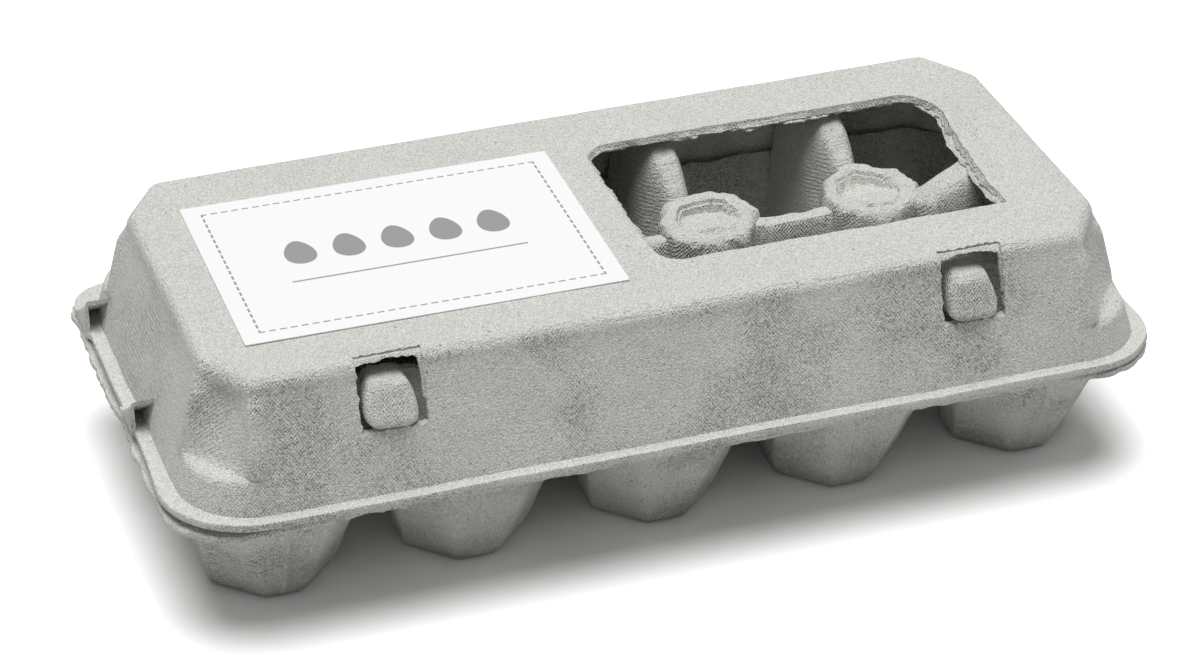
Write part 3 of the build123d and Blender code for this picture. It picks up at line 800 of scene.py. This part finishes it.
def pulp_material(name, colours, tone=1.0):
    """Recycled pulp: mottled grey with dark and pale fibres and a felt-like relief with fine wire marks."""
    material, tree, principled, node = shader(name)
    where = node("ShaderNodeTexCoord").outputs["Object"]

    def noise(scale, detail, rough=0.55):
        made = node("ShaderNodeTexNoise", Scale=scale, Detail=detail, Roughness=rough)
        tree.links.new(where, made.inputs["Vector"])
        return made.outputs["Fac"]

    def bump(height, distance, strength, below=None):
        made = node("ShaderNodeBump", Distance=distance)
        tree.links.new(height, made.inputs["Height"])
        if isinstance(strength, bpy.types.NodeSocket):
            tree.links.new(strength, made.inputs["Strength"])
        else:
            made.inputs["Strength"].default_value = strength
        if below is not None:
            tree.links.new(below, made.inputs["Normal"])
        return made.outputs[0]

    def shade(share):
        return tuple(min(c * tone * share, 0.85) for c in colours.pulp) + (1,)

    # broad clouds, then a fine grain, then two sizes of dark fleck in scattered patches
    cloud = ramp(node, tree, noise(55, 3), [(0.3, 0.0), (0.7, 1.0)])
    grain = ramp(node, tree, noise(2400, 1, 0.6), [(0.32, 0.0), (0.64, 1.0)])
    colour = mixed(node, tree, "MIX", cloud, shade(0.96), shade(1.0))
    speckle = mixed(node, tree, "MIX", grain, (0.80, 0.80, 0.80, 1), (1.14, 1.14, 1.14, 1))
    colour = mixed(node, tree, "MULTIPLY", 1.0, colour, speckle)
    for scale, edge, seldom, strong in ((1000.0, 0.26, 0.50, 0.55), (300.0, 0.10, 0.50, 0.9)):
        spots = node("ShaderNodeTexVoronoi", Scale=scale, Randomness=1.0)
        tree.links.new(where, spots.inputs["Vector"])
        fleck = ramp(node, tree, spots.outputs["Distance"], [(edge * 0.5, strong), (edge, 0.0)])
        patch = ramp(node, tree, noise(scale * 0.6, 2), [(seldom, 0.0), (seldom + 0.06, 1.0)])
        amount = mixed(node, tree, "MULTIPLY", 1.0, fleck, patch)
        colour = mixed(node, tree, "MIX", amount, colour, tuple(colours.fleck) + (1,))
    tree.links.new(colour, principled.inputs["Base Color"])
    principled.inputs["Roughness"].default_value = 0.93
    principled.inputs["Specular IOR Level"].default_value = 0.18

    # felt and lumps everywhere; wire mesh marks on the steep faces; drawn-out creases along the rounded edges
    facing = node("ShaderNodeSeparateXYZ")
    tree.links.new(node("ShaderNodeTexCoord").outputs["Normal"], facing.inputs[0])
    steep = ramp(node, tree, facing.outputs[2], [(0.45, 1.0), (0.8, 0.0)])
    edges = ramp(node, tree, facing.outputs[2], [(0.3, 0.0), (0.5, 1.0), (0.85, 1.0), (0.98, 0.0)])
    felt = bump(noise(2200, 1, 0.6), 0.00062, 1.0)
    lumps = bump(noise(160, 3), 0.0008, 0.6, felt)
    patches = ramp(node, tree, noise(45, 1), [(0.42, 0.15), (0.62, 1.0)])
    zone = mixed(node, tree, "MULTIPLY", 1.0, steep, patches)
    slant = node("ShaderNodeMapping", Rotation=(0.0, 0.75, 0.35))
    tree.links.new(where, slant.inputs["Vector"])
    marks = lumps
    for way in ("X", "Z"):
        wires = node("ShaderNodeTexWave", wave_type="BANDS", bands_direction=way, Scale=500.0, Distortion=1.2)
        tree.links.new(slant.outputs[0], wires.inputs["Vector"])
        marks = bump(wires.outputs["Fac"], 0.00018, zone, marks)
    drawn = node("ShaderNodeMapping", Scale=(0.12, 1.0, 1.0))
    tree.links.new(where, drawn.inputs["Vector"])
    creases = node("ShaderNodeTexNoise", Scale=900.0, Detail=1.0)
    tree.links.new(drawn.outputs[0], creases.inputs["Vector"])
    finish = bump(creases.outputs["Fac"], 0.0004, edges, marks)
    tree.links.new(finish, principled.inputs["Normal"])
    return material


def label_material(colours):
    """White paper with a dashed grey frame, a row of plain egg shapes and a thin rule, by coordinates."""
    material, tree, principled, node = shader("label_paper")
    place = node("ShaderNodeMapping", vector_type="TEXTURE")
    place.inputs["Location"].default_value = (LABEL_X * MM, LABEL_Y * MM, 0)
    place.inputs["Rotation"].default_value = (0, 0, LABEL_TURN)
    tree.links.new(node("ShaderNodeTexCoord").outputs["Object"], place.inputs["Vector"])
    axes = node("ShaderNodeSeparateXYZ")
    tree.links.new(place.outputs[0], axes.inputs[0])

    def sums(kind, *values):
        made = node("ShaderNodeMath", operation=kind)
        for socket, value in zip(made.inputs, values):
            if isinstance(value, bpy.types.NodeSocket):
                tree.links.new(value, socket)
            else:
                socket.default_value = value
        return made.outputs[0]

    x, y = axes.outputs[0], axes.outputs[1]
    ax, ay = sums("ABSOLUTE", x), sums("ABSOLUTE", y)
    on_x = sums("MULTIPLY", sums("COMPARE", ax, 0.0420, 0.00026), sums("LESS_THAN", ay, 0.0290))
    on_y = sums("MULTIPLY", sums("COMPARE", ay, 0.0288, 0.00026), sums("LESS_THAN", ax, 0.0422))
    dash_x = sums("LESS_THAN", sums("PINGPONG", x, 0.0013), 0.00085)
    dash_y = sums("LESS_THAN", sums("PINGPONG", y, 0.0013), 0.00085)
    border = sums("MAXIMUM", sums("MULTIPLY", on_y, dash_x), sums("MULTIPLY", on_x, dash_y))
    # each egg is an oval that narrows upward, one every 12 mm, five in the row
    up = sums("SUBTRACT", y, 0.004)
    girth = sums("SUBTRACT", 0.0038, sums("MULTIPLY", up, 0.16))
    cell = sums("SUBTRACT", x, sums("SNAP", sums("ADD", x, 0.006), 0.012))
    wide = sums("MULTIPLY", sums("DIVIDE", cell, girth), sums("DIVIDE", cell, girth))
    tall = sums("MULTIPLY", sums("DIVIDE", up, 0.0055), sums("DIVIDE", up, 0.0055))
    eggs = sums("MULTIPLY", sums("LESS_THAN", sums("ADD", wide, tall), 1.0), sums("LESS_THAN", ax, 0.029))
    rule = sums("MULTIPLY", sums("COMPARE", y, -0.009, 0.0003), sums("LESS_THAN", ax, 0.029))
    ink = sums("MAXIMUM", border, sums("MAXIMUM", eggs, rule))
    colour = mixed(node, tree, "MIX", ink, tuple(colours.paper) + (1,), tuple(colours.ink) + (1,))
    tree.links.new(colour, principled.inputs["Base Color"])
    principled.inputs["Roughness"].default_value = 0.75
    fibres = node("ShaderNodeTexNoise", Scale=1500.0, Detail=4.0)
    tree.links.new(place.outputs[0], fibres.inputs["Vector"])
    relief = node("ShaderNodeBump", Strength=0.12, Distance=0.0001)
    tree.links.new(fibres.outputs["Fac"], relief.inputs["Height"])
    tree.links.new(relief.outputs[0], principled.inputs["Normal"])
    return material


# Operators, one for each piece or group


class CARTON_OT_lid(bpy.types.Operator):
    """Builds the lid with its window, latch openings, corner ledges and end lugs"""
    bl_idname = "carton.lid"
    bl_label = "Lid"

    def execute(self, context):
        sizes = context.scene.carton_sizes
        pulp = pulp_material("lid_pulp", context.scene.carton_colours)
        shells = [lid_shell(sizes), torn_fringe()] + [lug_hood(s, y) for s in (-1, 1) for y in LUGS]
        shells += [torn_arch(x, 31 + 7 * i) for i, x in enumerate(LATCHES)]
        piece("lid_pulp", shells, "lid", pulp, ("lid",))
        return {"FINISHED"}


class CARTON_OT_tray(bpy.types.Operator):
    """Builds the tray: the liner with its ridges, the cups, and the torn rim with the flap, knobs and posts"""
    bl_idname = "carton.tray"
    bl_label = "Tray"

    def execute(self, context):
        sizes = context.scene.carton_sizes
        pulp = pulp_material("tray_pulp", context.scene.carton_colours, 0.97)
        cups = [cup_shell(x, row, 100 + 10 * i + row) for i, x in enumerate(CELLS) for row in (-1, 1)]
        posts = [post_shell(x, 200 + 5 * i) for i, x in enumerate(POSTS)]
        rim = [flange_ring(sizes), front_flap()] + [knob(x, 300 + 5 * i) for i, x in enumerate(LATCHES)]
        # three pieces, so that each stays under 200,000 triangles
        parts = {"tray_liner": [liner(sizes)], "tray_cups": cups, "tray_rim_and_posts": rim + posts}
        for name, shells in parts.items():
            piece(name, shells, "tray", pulp, ("tray",))
        return {"FINISHED"}


class CARTON_OT_hinge(bpy.types.Operator):
    """Builds the strip of pulp that bends between the tray and the lid"""
    bl_idname = "carton.hinge"
    bl_label = "Hinge strip"

    def execute(self, context):
        pulp = pulp_material("hinge_pulp", context.scene.carton_colours)
        strip = piece("hinge_strip", [hinge_strip()], None, pulp)
        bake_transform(strip)
        return {"FINISHED"}


class CARTON_OT_label(bpy.types.Operator):
    """Builds the paper label on the lid"""
    bl_idname = "carton.label"
    bl_label = "Label"

    def execute(self, context):
        paper = label_material(context.scene.carton_colours)
        piece("label_sheet", [label_sheet()], "lid", paper, ("label",))
        return {"FINISHED"}


class CARTON_OT_stage(bpy.types.Operator):
    """Builds the floor, the lamps, the world and the camera"""
    bl_idname = "carton.stage"
    bl_label = "Stage"

    def execute(self, context):
        scene = context.scene
        scene.view_settings.view_transform = "Standard"
        # pale grey to the light but brighter than white to the eye, so only the shadow shows
        mesh = bpy.data.meshes.new("floor")
        mesh.from_pydata([(-6, -6, 0), (6, -6, 0), (6, 6, 0), (-6, 6, 0)], [], [(0, 1, 2, 3)])
        floor = bpy.data.objects.new("floor", mesh)
        scene.collection.objects.link(floor)
        material, tree, principled, node = shader("floor_white")
        principled.inputs["Roughness"].default_value = 0.9
        principled.inputs["Specular IOR Level"].default_value = 0.0
        pale = mixed(node, tree, "MIX", seen_ray(node, tree), (0.68, 0.68, 0.68, 1), (1.38, 1.38, 1.38, 1))
        tree.links.new(pale, principled.inputs["Base Color"])
        mesh.materials.append(material)
        world = bpy.data.worlds.new("studio")
        scene.world = world
        world.use_nodes = True
        tree = world.node_tree
        node = node_maker(tree)
        pick = node("ShaderNodeMix")
        pick.inputs[2].default_value, pick.inputs[3].default_value = 0.17, 1.0
        tree.links.new(seen_ray(node, tree), pick.inputs[0])
        tree.links.new(pick.outputs[0], tree.nodes["Background"].inputs["Strength"])
        tree.nodes["Background"].inputs["Color"].default_value = (1, 1, 1, 1)
        lamp = bpy.data.lights.new("overhead", "SUN")
        lamp.energy, lamp.angle = 2.75, np.radians(45)
        lamp_obj = bpy.data.objects.new("overhead", lamp)
        lamp_obj.rotation_euler = (0, np.radians(-2.5), 0)
        scene.collection.objects.link(lamp_obj)
        place_camera(scene)
        return {"FINISHED"}


def place_camera(scene):
    """Stands the camera where the photograph was taken: a turn, a tilt, a roll, and the carton's place before
    the lens, which is 4018 pixels long on a picture 1200 wide."""
    a, e, roll = np.radians([18.72, 31.23, -0.30])
    ahead = np.array([np.sin(a) * np.cos(e), np.cos(a) * np.cos(e), -np.sin(e)])
    right = np.array([np.cos(a), -np.sin(a), 0])
    down = np.cross(ahead, right)
    c, s = np.cos(roll), np.sin(roll)
    axes = np.array([[c, -s, 0], [s, c, 0], [0, 0, 1]]) @ np.array([right, down, ahead])
    place = -axes.T @ np.array([2.76, 27.48, 1011.84]) * MM
    data = bpy.data.cameras.new("camera")
    data.sensor_width, data.lens = 36, 4018.19 / 1200 * 36
    data.clip_start, data.clip_end = 0.05, 50
    camera = bpy.data.objects.new("camera", data)
    turn = np.eye(4)
    turn[:3, 0], turn[:3, 1], turn[:3, 2], turn[:3, 3] = axes[0], -axes[1], -axes[2], place
    camera.matrix_world = Matrix(turn.tolist())
    scene.collection.objects.link(camera)
    scene.camera = camera


class CARTON_PT_panel(bpy.types.Panel):
    """Lists the pieces of the egg carton"""
    bl_idname = "CARTON_PT_panel"
    bl_label = "Egg carton"
    bl_space_type = "VIEW_3D"
    bl_region_type = "UI"
    bl_category = "Egg carton"

    def draw(self, context):
        for group in (context.scene.carton_sizes, context.scene.carton_colours):
            for name in group.__annotations__:
                self.layout.prop(group, name)
        for operator in OPERATORS:
            self.layout.operator(operator.bl_idname)


OPERATORS = (CARTON_OT_stage, CARTON_OT_lid, CARTON_OT_tray, CARTON_OT_hinge, CARTON_OT_label)
CLASSES = (CartonSizes, CartonColours) + OPERATORS + (CARTON_PT_panel,)


def register():
    """Makes the classes known to Blender and adds the settings to the scene."""
    for item in CLASSES:
        bpy.utils.register_class(item)
    bpy.types.Scene.carton_sizes = bpy.props.PointerProperty(type=CartonSizes)
    bpy.types.Scene.carton_colours = bpy.props.PointerProperty(type=CartonColours)


def unregister():
    """Takes the settings and the classes away again."""
    del bpy.types.Scene.carton_colours
    del bpy.types.Scene.carton_sizes
    for item in reversed(CLASSES):
        bpy.utils.unregister_class(item)


def main():
    register()
    bpy.ops.carton.stage()
    bpy.ops.carton.lid()
    bpy.ops.carton.tray()
    bpy.ops.carton.hinge()
    bpy.ops.carton.label()


if __name__ == "__main__":
    main()
